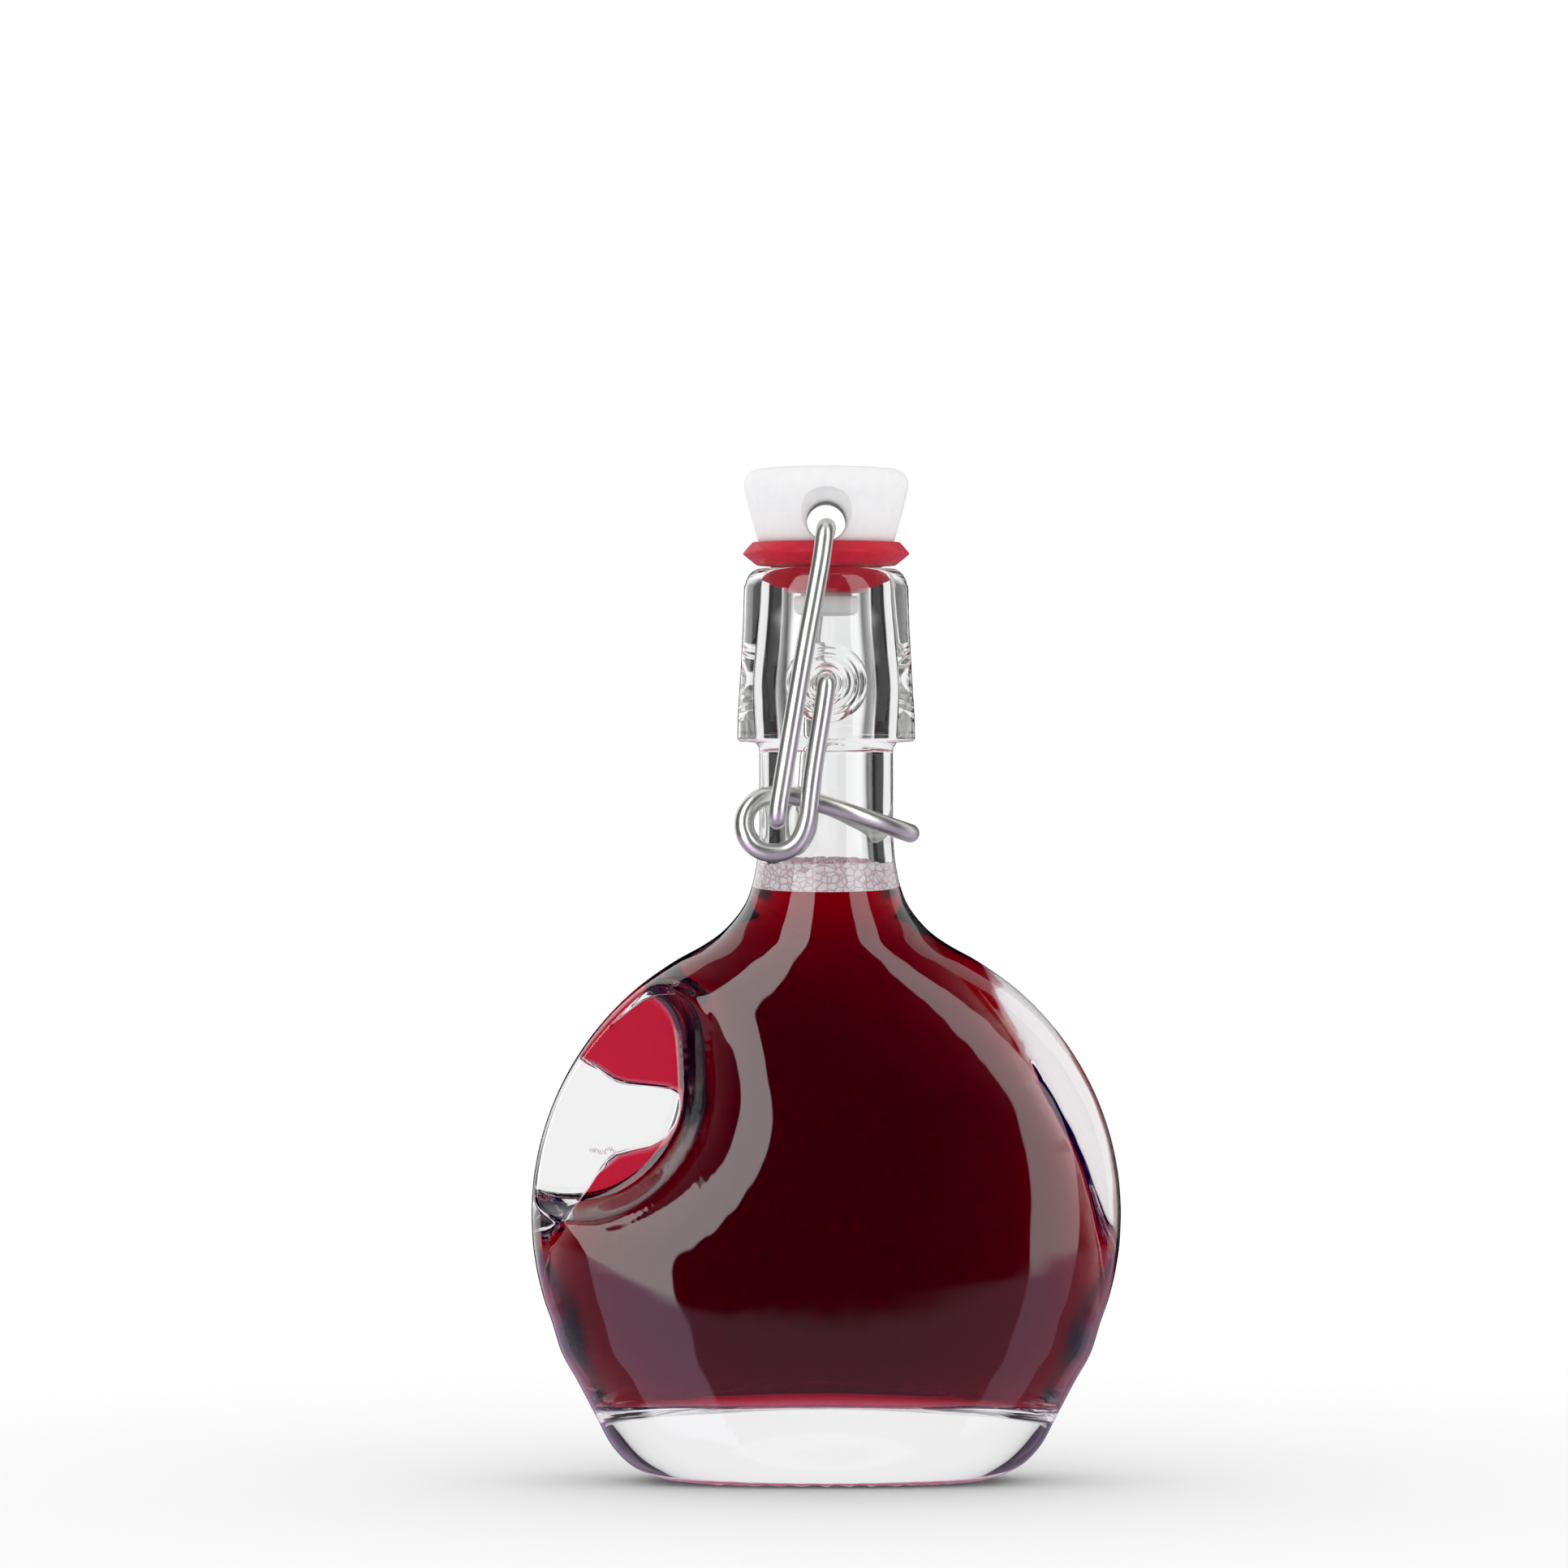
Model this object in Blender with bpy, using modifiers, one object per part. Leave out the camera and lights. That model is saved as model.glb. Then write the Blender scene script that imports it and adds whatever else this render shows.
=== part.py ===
"""Swing top bottle: a small flat round glass flask, its red contents, and a wire closure that
clamps a plastic stopper with a rubber gasket on the mouth.
Metres, +Z up, foot of the flask on z = 0, wide faces towards -Y and +Y, closure pivots along Y."""

import math

import bmesh
import bpy

MM = 0.001
GAP = 0.3  # mm left between pieces that touch on the real bottle
RING = 60  # points round each section of the glass and the liquid

# Outside of the glass: height, half width, half depth (mm)
OUTSIDE = (
    (0.0, 15.5, 8.0),
    (0.6, 18.0, 9.2),
    (1.5, 20.4, 10.2),
    (3.8, 23.0, 11.6),
    (7.0, 24.6, 12.6),
    (11.0, 26.8, 13.4),
    (15.6, 29.0, 13.9),
    (57.6, 13.3, 9.6),
    (58.9, 11.4, 9.0),
    (60.2, 10.1, 8.5),
    (61.5, 8.9, 8.1),
    (62.8, 8.35, 7.9),
    (65.0, 7.75, 7.6),
    (70.0, 7.2, 7.2),
    (79.2, 7.2, 7.2),
    (79.7, 9.6, 9.6),
    (82.5, 9.5, 9.5),
    (85.8, 9.3, 9.3),
    (89.5, 9.1, 9.1),
    (93.0, 8.9, 8.9),
    (96.4, 8.8, 8.8),
    (97.5, 8.3, 8.3),
    (98.0, 7.6, 7.6),
    (98.2, 6.8, 6.8),
)
BODY_RADIUS = 31.7  # the wide face is a disc of this radius
BODY_CENTRE = 28.75  # height of its centre
BODY_DEPTH = ((15.6, 13.9), (24.0, 14.0), (36.0, 13.9), (45.0, 13.2), (51.0, 12.0), (57.6, 9.6))
BODY_STATIONS = (20.0, 25.0, 27.5, 30.0, 32.5, 35.0, 37.5, 40.0, 42.5, 45.0, 47.5, 50.0, 52.0, 54.0, 56.0)

# Cavity: height, left end, right end, half depth (mm). Its left end draws back round the place
# where the thumb dents press the two faces together.
CAVITY = (
    (98.2, -5.9, 5.9, 5.9),
    (97.6, -5.2, 5.2, 5.2),
    (94.0, -5.0, 5.0, 5.0),
    (86.0, -5.3, 5.3, 5.0),
    (79.0, -5.0, 5.0, 5.0),
    (68.0, -5.0, 5.0, 5.0),
    (65.0, -5.4, 5.4, 5.3),
    (62.8, -6.2, 6.2, 5.6),
    (60.2, -8.0, 8.2, 6.2),
    (57.6, -11.0, 11.6, 7.2),
    (55.0, -14.6, 15.4, 8.3),
    (51.0, -20.0, 18.6, 9.7),
    (48.0, -23.6, 20.6, 10.4),
    (45.6, -25.6, 22.0, 10.8),
    (44.2, -24.6, 22.8, 11.0),
    (43.7, -23.7, 23.1, 11.05),
    (43.2, -22.0, 23.4, 11.1),
    (42.9, -20.0, 23.55, 11.15),
    (42.6, -18.0, 23.7, 11.2),
    (41.8, -15.9, 24.1, 11.2),
    (40.1, -15.4, 24.9, 11.3),
    (38.4, -15.9, 25.7, 11.4),
    (37.0, -17.4, 26.2, 11.4),
    (35.8, -20.4, 26.7, 11.5),
    (35.0, -23.2, 26.9, 11.5),
    (33.0, -25.0, 27.5, 11.6),
    (29.5, -26.6, 28.2, 11.6),
    (25.0, -27.6, 28.6, 11.7),
    (20.0, -27.9, 28.6, 11.7),
    (15.6, -26.8, 27.6, 11.4),
    (11.5, -24.2, 25.0, 10.6),
    (9.0, -21.6, 22.4, 9.4),
    (7.8, -18.4, 19.0, 7.8),
    (7.3, -13.0, 13.4, 5.0),
)
LIQUID_TOP, FOAM_TOP = 63.3, 66.5
LIQUID_FLOOR = 7.3 + GAP

# Thumb dents, one pressed into each face near the left edge
DENT_X, DENT_Z = -27.4, 42.7
DENT_FLOOR = 4.3  # half the thickness left between the two dents
DENT_FOOT, DENT_RIM = 9.0, 17.0  # radii where their wall starts and ends
DENT_RISE = 10.5
DENT_WALL = 2.2  # glass between a dent and the cavity
LIQUID_DENT_WALL = 3.4  # the liquid stays further in here, where both meshes are steep

PIVOT_Z = 85.8
DIMPLE_OUTER, DIMPLE_HOLE, DIMPLE_FLOOR = 4.0, 1.9, 6.4
WIRE = 1.0  # radius of the steel wire

# Lever: front half from its tip in the glass to the middle of the handle
LEVER_OUT, LEVER_IN = 10.95, 8.5
LOOP_X, LOOP_Z, LOOP_R = -5.8, 70.7, 3.05
HANDLE_REACH, HANDLE_DROP = 8.7, 0.335
# Bail: its crossbar passes through the stopper and its hooked ends turn in the lever's loops
HOOK_X, HOOK_Z = -5.25, 71.15
CROSSBAR_Z = 102.3
BAIL_OUT, BAIL_TOP_OUT = 13.25, 11.9

# Stopper and gasket: radius and height down the outer side (mm)
STOPPER = (
    (0.0, 109.2),
    (4.5, 109.1),
    (7.2, 108.8),
    (8.4, 108.3),
    (8.9, 107.3),
    (8.8, 106.0),
    (8.1, 103.2),
    (7.35, 101.0),
    (7.2, 100.85),
    (4.4, 99.9),
    (2.8, 99.9),
    (2.8, 95.2),
    (3.5, 95.2),
    (3.5, 93.7),
    (3.1, 93.2),
    (0.0, 93.2),
)
EYE_Z, EYE_HALF_WIDTH, EYE_HALF_HEIGHT = 103.15, 2.1, 2.15
GASKET = (
    (3.1, 99.6),
    (4.6, 99.6),
    (7.6, 100.55),
    (7.75, 101.0),
    (8.05, 101.0),
    (8.96, 99.8),
    (7.4, 98.5),
    (4.6, 98.5),
    (4.5, 97.4),
    (3.9, 95.5),
    (3.1, 95.5),
)


def clear_scene():
    for found in list(bpy.data.objects):
        bpy.data.objects.remove(found)


def make_collections():
    """The kept pieces go in one collection and the cutters in another."""
    kept = bpy.data.collections.new("swing_top_bottle")
    cutters = bpy.data.collections.new("cutters")
    for group in (kept, cutters):
        bpy.context.scene.collection.children.link(group)
    return kept, cutters


def principled(name, colour, roughness, **inputs):
    """A material with one Principled node, set up from numbers."""
    material = bpy.data.materials.new(name)
    material.use_nodes = True
    node = material.node_tree.nodes["Principled BSDF"]
    node.inputs["Base Color"].default_value = (*colour, 1.0)
    node.inputs["Roughness"].default_value = roughness
    for key, value in inputs.items():
        node.inputs[key.replace("_", " ")].default_value = value
    return material


def glass_material():
    return principled("clear_glass", (0.95, 0.96, 0.96), 0.02, Transmission_Weight=1.0, IOR=1.52)


def liquid_material():
    return principled("red_syrup", (0.25, 0.0, 0.01), 0.02, Transmission_Weight=0.6, IOR=1.35)


def foam_material():
    return principled("pink_foam", (0.8, 0.55, 0.62), 0.3, Transmission_Weight=0.4)


def steel_material():
    return principled("polished_steel", (0.62, 0.62, 0.62), 0.2, Metallic=1.0)


def plastic_material():
    return principled("white_plastic", (0.85, 0.85, 0.86), 0.4)


def rubber_material():
    return principled("red_rubber", (0.6, 0.01, 0.03), 0.5)


def between(table, z, column):
    """One column of a table of heights, read at z by straight lines."""
    rows = sorted(table)
    if z <= rows[0][0]:
        return rows[0][column]
    for low, high in zip(rows, rows[1:]):
        if z <= high[0]:
            share = (z - low[0]) / (high[0] - low[0])
            return low[column] + share * (high[column] - low[column])
    return rows[-1][column]


def dent_depth(x, z):
    """Half the thickness of the body where the dents are pressed in."""
    radius = math.hypot(x - DENT_X, z - DENT_Z)
    share = min(max((radius - DENT_FOOT) / (DENT_RIM - DENT_FOOT), 0.0), 1.0)
    return DENT_FLOOR + DENT_RISE * share * share * (3.0 - 2.0 * share)


def soft_least(a, b, blend):
    """The smaller of two depths, with their crossing rounded off."""
    share = max(blend - abs(a - b), 0.0) / blend
    return min(a, b) - share * share * blend * 0.25


def section(z, left, right, depth, dent_wall=0.0, least=0.7, blend=1.6):
    """One closed ring of points round a section of the flask, in mm."""
    squareness = 2.35 if 1.0 < z < 60.0 else 2.0
    middle, half = (left + right) / 2.0, (right - left) / 2.0
    points = []
    for i in range(RING):
        turn = 2.0 * math.pi * i / RING
        across, along = math.cos(turn), math.sin(turn)
        x = middle + half * math.copysign(abs(across) ** (2.0 / squareness), across)
        y = depth * abs(along) ** (2.0 / squareness)
        pressed = dent_depth(x, z) - dent_wall
        if y > 0.0 and pressed < y + blend:
            y = max(soft_least(y, pressed, blend), min(y, least))
        points.append((x, math.copysign(y, along), z))
    return points


def loft(name, rings, material, collection):
    """One closed body from rings of points, with a flat face over the first and the last."""
    mesh = bmesh.new()
    layers = [[mesh.verts.new([c * MM for c in p]) for p in ring] for ring in rings]
    for below, above in zip(layers, layers[1:]):
        for i in range(RING):
            j = (i + 1) % RING
            mesh.faces.new((below[i], below[j], above[j], above[i]))
    mesh.faces.new(list(reversed(layers[0])))
    mesh.faces.new(layers[-1])
    bmesh.ops.recalc_face_normals(mesh, faces=mesh.faces)
    data = bpy.data.meshes.new(name)
    mesh.to_mesh(data)
    mesh.free()
    return place(bpy.data.objects.new(name, data), material, collection)


def place(thing, material, collection):
    """Links an object to its collection and gives it its material."""
    collection.objects.link(thing)
    if material:
        thing.data.materials.append(material)
    return thing


def turned(name, profile, closed, material, collection):
    """A body of revolution: a Screw on a profile at +X."""
    mesh = bmesh.new()
    points = [mesh.verts.new((r * MM, 0.0, z * MM)) for r, z in profile]
    for a, b in zip(points, points[1:]):
        mesh.edges.new((a, b))
    if closed:
        mesh.edges.new((points[-1], points[0]))
    data = bpy.data.meshes.new(name)
    mesh.to_mesh(data)
    mesh.free()
    thing = place(bpy.data.objects.new(name, data), material, collection)
    screw = thing.modifiers.new("turn", "SCREW")
    screw.axis = "Z"
    screw.steps = screw.render_steps = 48
    screw.use_merge_vertices = True
    screw.merge_threshold = 0.00001
    return thing


def wire(name, path, material, collection):
    """Round wire along a path of points in mm, with closed ends."""
    curve = bpy.data.curves.new(name, "CURVE")
    curve.dimensions = "3D"
    curve.bevel_depth = WIRE * MM
    curve.bevel_resolution = 3
    curve.use_fill_caps = True
    spline = curve.splines.new("POLY")
    spline.points.add(len(path) - 1)
    for point, place_mm in zip(spline.points, path):
        point.co = (*[c * MM for c in place_mm], 1.0)
    thing = bpy.data.objects.new(name, curve)
    return place(thing, material, collection)


def set_origin(thing, x, y, z):
    """Moves an object's origin to a joint axis, in mm, without moving its shape."""
    spot = (x * MM, y * MM, z * MM)
    if thing.type == "CURVE":
        for point in thing.data.splines[0].points:
            point.co = (*[a - b for a, b in zip(point.co[:3], spot)], 1.0)
    else:
        for vertex in thing.data.vertices:
            vertex.co = [a - b for a, b in zip(vertex.co, spot)]
    thing.location = spot


def outside_rings():
    rows = list(OUTSIDE)
    for z in BODY_STATIONS:
        half = math.sqrt(BODY_RADIUS**2 - (z - BODY_CENTRE) ** 2)
        rows.append((z, half, between(BODY_DEPTH, z, 1)))
    return [section(z, -half, half, depth) for z, half, depth in sorted(rows)]


def cavity_rings():
    return [section(z, left, right, depth, DENT_WALL) for z, left, right, depth in CAVITY]


def flask(kept, cutters):
    """Mould-blown flask: outside from foot to lip, then the cavity from lip to floor."""
    glass = loft("bottle_glass", outside_rings() + cavity_rings(), glass_material(), kept)
    for side in (-1.0, 1.0):
        cut(glass, dimple(side, cutters), "DIFFERENCE")
    return glass


def dimple(side, cutters):
    """Cutter for the tapered hole that a tip of the lever turns in."""
    depth = 10.6 - DIMPLE_FLOOR
    bpy.ops.mesh.primitive_cone_add(
        vertices=32,
        radius1=DIMPLE_HOLE * MM,
        radius2=(DIMPLE_HOLE + (DIMPLE_OUTER - DIMPLE_HOLE) * depth / 2.6) * MM,
        depth=depth * MM,
        location=(0.0, side * (DIMPLE_FLOOR + depth / 2.0) * MM, PIVOT_Z * MM),
        rotation=(-side * math.pi / 2.0, 0.0, 0.0),
    )
    return as_cutter(bpy.context.object, "dimple_cutter", cutters)


def as_cutter(thing, name, cutters):
    thing.name = name
    for group in list(thing.users_collection):
        group.objects.unlink(thing)
    cutters.objects.link(thing)
    thing.hide_render = True
    thing.display_type = "WIRE"
    return thing


def cut(thing, cutter, operation):
    boolean = thing.modifiers.new("cut", "BOOLEAN")
    boolean.operation = operation
    boolean.solver = "EXACT"
    boolean.object = cutter


def liquid(kept):
    """The contents, just clear of the cavity's wall."""
    heights = [row[0] for row in CAVITY if LIQUID_FLOOR < row[0] < LIQUID_TOP]
    heights = [LIQUID_TOP] + heights + [LIQUID_FLOOR]
    rings = []
    for z in heights:
        near = [z + step * 0.1 for step in range(-4, 5)]
        left = max(between(CAVITY, height, 1) for height in near) + GAP
        right = min(between(CAVITY, height, 2) for height in near) - GAP
        depth = min(between(CAVITY, height, 3) for height in near) - GAP
        rings.append(section(z, left, right, depth, LIQUID_DENT_WALL, least=0.3))
    return loft("liquid_fill", rings, liquid_material(), kept)


def foam(kept):
    """Layer of bubbles standing on the liquid in the neck."""
    low, high = LIQUID_TOP + GAP, FOAM_TOP
    bpy.ops.mesh.primitive_cylinder_add(
        vertices=40,
        radius=4.65 * MM,
        depth=(high - low) * MM,
        location=(0.0, 0.0, (low + high) / 2.0 * MM),
    )
    layer = bpy.context.object
    layer.name = "foam_layer"
    for group in list(layer.users_collection):
        group.objects.unlink(layer)
    return place(layer, foam_material(), kept)


def stopper(kept, cutters):
    """Head, stem and end button in one moulding, with an eye for the bail."""
    head = turned("stopper_head", STOPPER, False, plastic_material(), kept)
    bpy.ops.mesh.primitive_cylinder_add(
        vertices=32,
        radius=MM,
        depth=24.0 * MM,
        location=(0.0, 0.0, EYE_Z * MM),
        rotation=(math.pi / 2.0, 0.0, 0.0),
    )
    eye = as_cutter(bpy.context.object, "eye_cutter", cutters)
    eye.scale = (EYE_HALF_WIDTH, EYE_HALF_HEIGHT, 1.0)
    cut(head, eye, "DIFFERENCE")
    set_origin(head, 0.0, 0.0, CROSSBAR_Z)
    return head


def gasket(kept):
    """Rubber ring round the stem: a flange over the lip and a cone inside the mouth."""
    return turned("gasket", GASKET, True, rubber_material(), kept)


def lever_half():
    """The lever's wire from its tip in one dimple, round its loop, to the handle."""
    path = [(0.0, -y, PIVOT_Z) for y in (6.9, 9.4)]
    path += [(0.0, -10.3, 85.6), (-0.06, -10.8, 85.1), (-0.14, -LEVER_OUT, 84.4)]
    path += [(-1.0, -LEVER_OUT, 79.3), (-1.75, -LEVER_OUT, 73.8), (-1.9, -LEVER_OUT, 72.0)]
    path += [(-2.15, -LEVER_OUT, 70.7), (-2.7, -LEVER_OUT, 69.4), (-3.6, -LEVER_OUT, 68.3)]
    path += [(-4.7, -LEVER_OUT, 67.75)]
    for degrees in range(-90, -271, -20):
        turn = math.radians(degrees)
        inward = min(max((-degrees - 150.0) / 120.0, 0.0), 1.0)
        y = LEVER_OUT + (9.0 - LEVER_OUT) * inward
        path.append((LOOP_X + LOOP_R * math.cos(turn), -y, LOOP_Z + LOOP_R * math.sin(turn)))
    path += [(-4.2, -8.65, 73.75), (-2.2, -LEVER_IN, 73.4)]
    return path


def lever(kept):
    """The lever is one wire: two mirrored halves joined by the bent handle."""
    front = lever_half()
    bend = []
    for degrees in range(0, 181, 15):
        turn = math.radians(degrees)
        x = 0.4 + HANDLE_REACH * math.sin(turn)
        bend.append((x, -LEVER_IN * math.cos(turn), 72.6 - HANDLE_DROP * (x - 0.4)))
    back = [(x, -y, z) for x, y, z in reversed(front)]
    thing = wire("lever_wire", front + bend + back, steel_material(), kept)
    set_origin(thing, 0.0, 0.0, PIVOT_Z)
    return thing


def bail_half():
    """The bail's wire from its hooked end in a loop, up to the crossbar."""
    path = [(HOOK_X, -y, HOOK_Z) for y in (8.2, 12.1)]
    path += [(-5.2, -12.9, 71.5), (-5.1, -BAIL_OUT, 72.3), (-4.85, -BAIL_OUT, 74.2)]
    path += [(-3.65, -BAIL_OUT, 81.5), (-2.45, -BAIL_OUT, 88.6), (-1.5, -12.75, 94.0)]
    path += [(-0.45, -BAIL_TOP_OUT, 99.6), (-0.2, -11.5, 101.0), (-0.05, -10.8, 101.9)]
    path += [(0.0, -9.9, CROSSBAR_Z)]
    return path


def bail(kept):
    """The bail is one wire: two mirrored legs joined by the crossbar."""
    front = bail_half()
    back = [(x, -y, z) for x, y, z in reversed(front)]
    thing = wire("bail_wire", front + back, steel_material(), kept)
    set_origin(thing, HOOK_X, 0.0, HOOK_Z)
    return thing


def main():
    clear_scene()
    kept, cutters = make_collections()
    flask(kept, cutters)
    liquid(kept)
    foam(kept)
    stopper(kept, cutters)
    gasket(kept)
    lever(kept)
    bail(kept)


main()
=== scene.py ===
# %% [markdown]
# # A swing top bottle
# A small flat round glass flask with a thumb dent pressed into each wide face, filled with deep red
# syrup. A wire lever turns in two dimples of the glass head, a wire bail joins it to a plastic
# stopper, and a rubber gasket seals the lip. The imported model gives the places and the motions, and
# each cell below makes one piece or one finish over it.

import bisect
import math
import random

import bpy
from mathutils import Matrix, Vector


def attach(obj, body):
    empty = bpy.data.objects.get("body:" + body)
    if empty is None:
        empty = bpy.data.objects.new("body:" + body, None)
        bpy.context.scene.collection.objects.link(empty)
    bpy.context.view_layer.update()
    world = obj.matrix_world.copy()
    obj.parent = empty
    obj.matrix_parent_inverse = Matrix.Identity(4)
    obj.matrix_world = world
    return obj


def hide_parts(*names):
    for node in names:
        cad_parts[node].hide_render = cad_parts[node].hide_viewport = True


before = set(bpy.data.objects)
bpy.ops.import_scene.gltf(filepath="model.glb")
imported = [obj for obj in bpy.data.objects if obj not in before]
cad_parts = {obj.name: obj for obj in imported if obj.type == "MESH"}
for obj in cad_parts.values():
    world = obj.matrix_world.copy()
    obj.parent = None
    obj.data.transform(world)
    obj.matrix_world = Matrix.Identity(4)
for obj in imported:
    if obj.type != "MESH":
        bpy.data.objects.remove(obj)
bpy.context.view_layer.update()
MM = 0.001

# %% [markdown]
# An operator works on whatever is selected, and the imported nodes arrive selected. So every piece
# starts by going back to object mode with nothing selected.


# %% Start clean
def nothing_selected():
    if bpy.context.object and bpy.context.object.mode != "OBJECT":
        bpy.ops.object.mode_set(mode="OBJECT")
    bpy.ops.object.select_all(action="DESELECT")


def in_edit_mode(select="SELECT"):
    bpy.ops.object.mode_set(mode="EDIT")
    bpy.ops.mesh.select_mode(type="VERT")
    bpy.ops.mesh.select_all(action=select)


# %% [markdown]
# Glass, stopper, gasket and foam are all stacks of rings, which is how they're turned or blown. By
# hand that is one circle, extruded and scaled again and again along the profile. A ring is written
# as height, left end, right end and half depth, in millimetres.


# %% Rings stacked by extruding
def first_ring(name, points, ring):
    nothing_selected()
    z, left, right, depth = ring
    bpy.ops.mesh.primitive_circle_add(vertices=points, radius=1.0, location=(0, 0, 0))
    piece = bpy.context.object
    piece.name = piece.data.name = name
    in_edit_mode()
    bpy.ops.transform.resize(value=((right - left) / 2 * MM, depth * MM, 1))
    bpy.ops.transform.translate(value=((left + right) / 2 * MM, 0, z * MM))
    return piece


def next_ring(before, after):
    (z0, left0, right0, depth0), (z, left, right, depth) = before, after
    middle, shift = (left + right) / 2, (left + right - left0 - right0) / 2
    bpy.ops.mesh.extrude_region_move(
        TRANSFORM_OT_translate={"value": (shift * MM, 0, (z - z0) * MM)}
    )
    grow = ((right - left) / (right0 - left0), depth / depth0, 1)
    bpy.ops.transform.resize(value=grow, center_override=(middle * MM, 0, z * MM))


def stack_of_rings(name, points, rings, ends="filled"):
    """One surface through all the rings. Its ends are filled, poked to a fan, open or joined up."""
    piece = first_ring(name, points, rings[0])
    for before, after in zip(rings, rings[1:]):
        next_ring(before, after)
    in_edit_mode()
    if ends == "joined":
        bpy.ops.mesh.remove_doubles(threshold=0.002 * MM)
    if ends in ("filled", "poked"):
        bpy.ops.mesh.select_all(action="DESELECT")
        bpy.ops.mesh.select_non_manifold(extend=False, use_wire=False)
        bpy.ops.mesh.fill_holes(sides=0)
        bpy.ops.mesh.select_all(action="DESELECT")
        bpy.ops.mesh.select_mode(type="FACE")
        bpy.ops.mesh.select_face_by_sides(number=4, type="GREATER")
        if ends == "poked":
            bpy.ops.mesh.poke()
        in_edit_mode()
    bpy.ops.mesh.normals_make_consistent(inside=False)
    bpy.ops.object.mode_set(mode="OBJECT")
    return piece


def round_rings(profile):
    """Rings of a turned piece, from its radius and height down or up its profile."""
    return [(z, -radius, radius, radius) for radius, z in profile]


# %% [markdown]
# Profiles are known at a few heights only. A curve that never overshoots its points (a monotone
# cubic) gives the heights between, so the walls come out fair, without ripples.


# %% A fair curve through a few known points
def fair(table, column=1):
    """A function from the table's first column to another, smooth and without overshoot."""
    rows = sorted(table)
    xs, ys = [row[0] for row in rows], [row[column] for row in rows]
    secants = [(ys[k + 1] - ys[k]) / (xs[k + 1] - xs[k]) for k in range(len(xs) - 1)]
    slopes = [secants[0]]
    for a, b in zip(secants, secants[1:]):
        slopes.append(2 * a * b / (a + b) if a * b > 0 else 0.0)
    slopes.append(secants[-1])

    def value(at):
        if at <= xs[0] or at >= xs[-1]:
            return ys[0] if at <= xs[0] else ys[-1]
        i = bisect.bisect_right(xs, at) - 1
        width = xs[i + 1] - xs[i]
        t = (at - xs[i]) / width
        return (
            (2 * t**3 - 3 * t**2 + 1) * ys[i]
            + (t**3 - 2 * t**2 + t) * slopes[i] * width
            + (3 * t**2 - 2 * t**3) * ys[i + 1]
            + (t**3 - t**2) * slopes[i + 1] * width
        )

    return value


# %% [markdown]
# ## The glass flask
# The wide face is a disc 63 mm across, drawn out into a short neck and a thick head. The sections
# are rounded oblongs in the body and circles in the neck, so each height has a half width, a half
# depth and a squareness: 2 is an ellipse, 3 has flat faces and tight ends.

# %% Outside of the flask, in millimetres
DISC_RADIUS, DISC_CENTRE = 31.7, 28.75
BASE_TOP, BASE_HALF, BASE_SLOPE = 11.0, 26.85, 0.55  # the base leans outwards to meet the disc
NECK_TOP = 78.4
OUTSIDE = [  # height, half width, half depth
    (0.0, 15.6, 8.0),
    (0.25, 17.2, 9.0),
    (0.8, 19.2, 10.0),
    (1.6, 20.8, 10.8),
    (2.6, 22.0, 11.4),
    (4.2, 23.3, 12.0),
    (7.0, 24.75, 12.7),
    (BASE_TOP, BASE_HALF, 13.4),
    (57.6, 13.3, 9.8),
    (58.9, 11.4, 9.2),
    (60.2, 10.1, 8.7),
    (61.5, 9.1, 8.3),
    (62.8, 8.4, 8.0),
    (65.0, 7.75, 7.65),
    (67.5, 7.35, 7.35),
    (70.0, 7.2, 7.2),
    (NECK_TOP, 7.2, 7.2),
]
DISC_DEPTH = [  # height, half depth
    (BASE_TOP, 13.4),
    (16.0, 13.8),
    (24.0, 14.0),
    (36.0, 13.95),
    (46.0, 13.2),
    (52.0, 11.9),
    (57.6, 9.8),
]
disc_depth = fair(DISC_DEPTH)
for z in range(14, 57, 3):
    half = math.sqrt(DISC_RADIUS**2 - (z - DISC_CENTRE) ** 2)
    if z < 17:
        half = BASE_HALF + (z - BASE_TOP) * BASE_SLOPE
    OUTSIDE.append((float(z), half, disc_depth(z)))
HEAD = [  # radius and height up the outside of the head
    (7.25, 78.9),
    (7.6, 79.45),
    (9.3, 79.6),
    (9.58, 79.85),
    (9.56, 80.6),
    (9.52, 82.5),
    (9.36, 85.0),
    (9.2, 87.5),
    (9.1, 89.5),
    (8.95, 92.5),
    (8.84, 96.2),
    (8.72, 96.5),
    (8.62, 96.9),
    (8.3, 97.5),
    (7.9, 97.9),
    (7.4, 98.15),
    (6.8, 98.2),
]
SQUARENESS = [  # height, power of the section's outline
    (0.0, 2.2),
    (4.0, 2.6),
    (16.0, 2.9),
    (40.0, 2.9),
    (50.0, 2.4),
    (58.0, 2.05),
    (64.0, 2.0),
]
UNDERSIDE = [  # the slightly hollow foot, from its middle outwards: height, half width, half depth
    (1.0, 3.0, 1.6),
    (0.95, 8.0, 4.2),
    (0.75, 11.8, 6.2),
    (0.35, 14.0, 7.2),
    (0.08, 14.9, 7.6),
]
AROUND = 144
print("outside rows", len(OUTSIDE), "points round", AROUND)

# %% [markdown]
# The thumb dents are scoops with a broad soft rim and a steep foot. Their floor is nearly flat, and
# the two floors are so close that the hot walls stuck together in a finger of solid glass. The
# liquid can only run above and below that finger.

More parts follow.
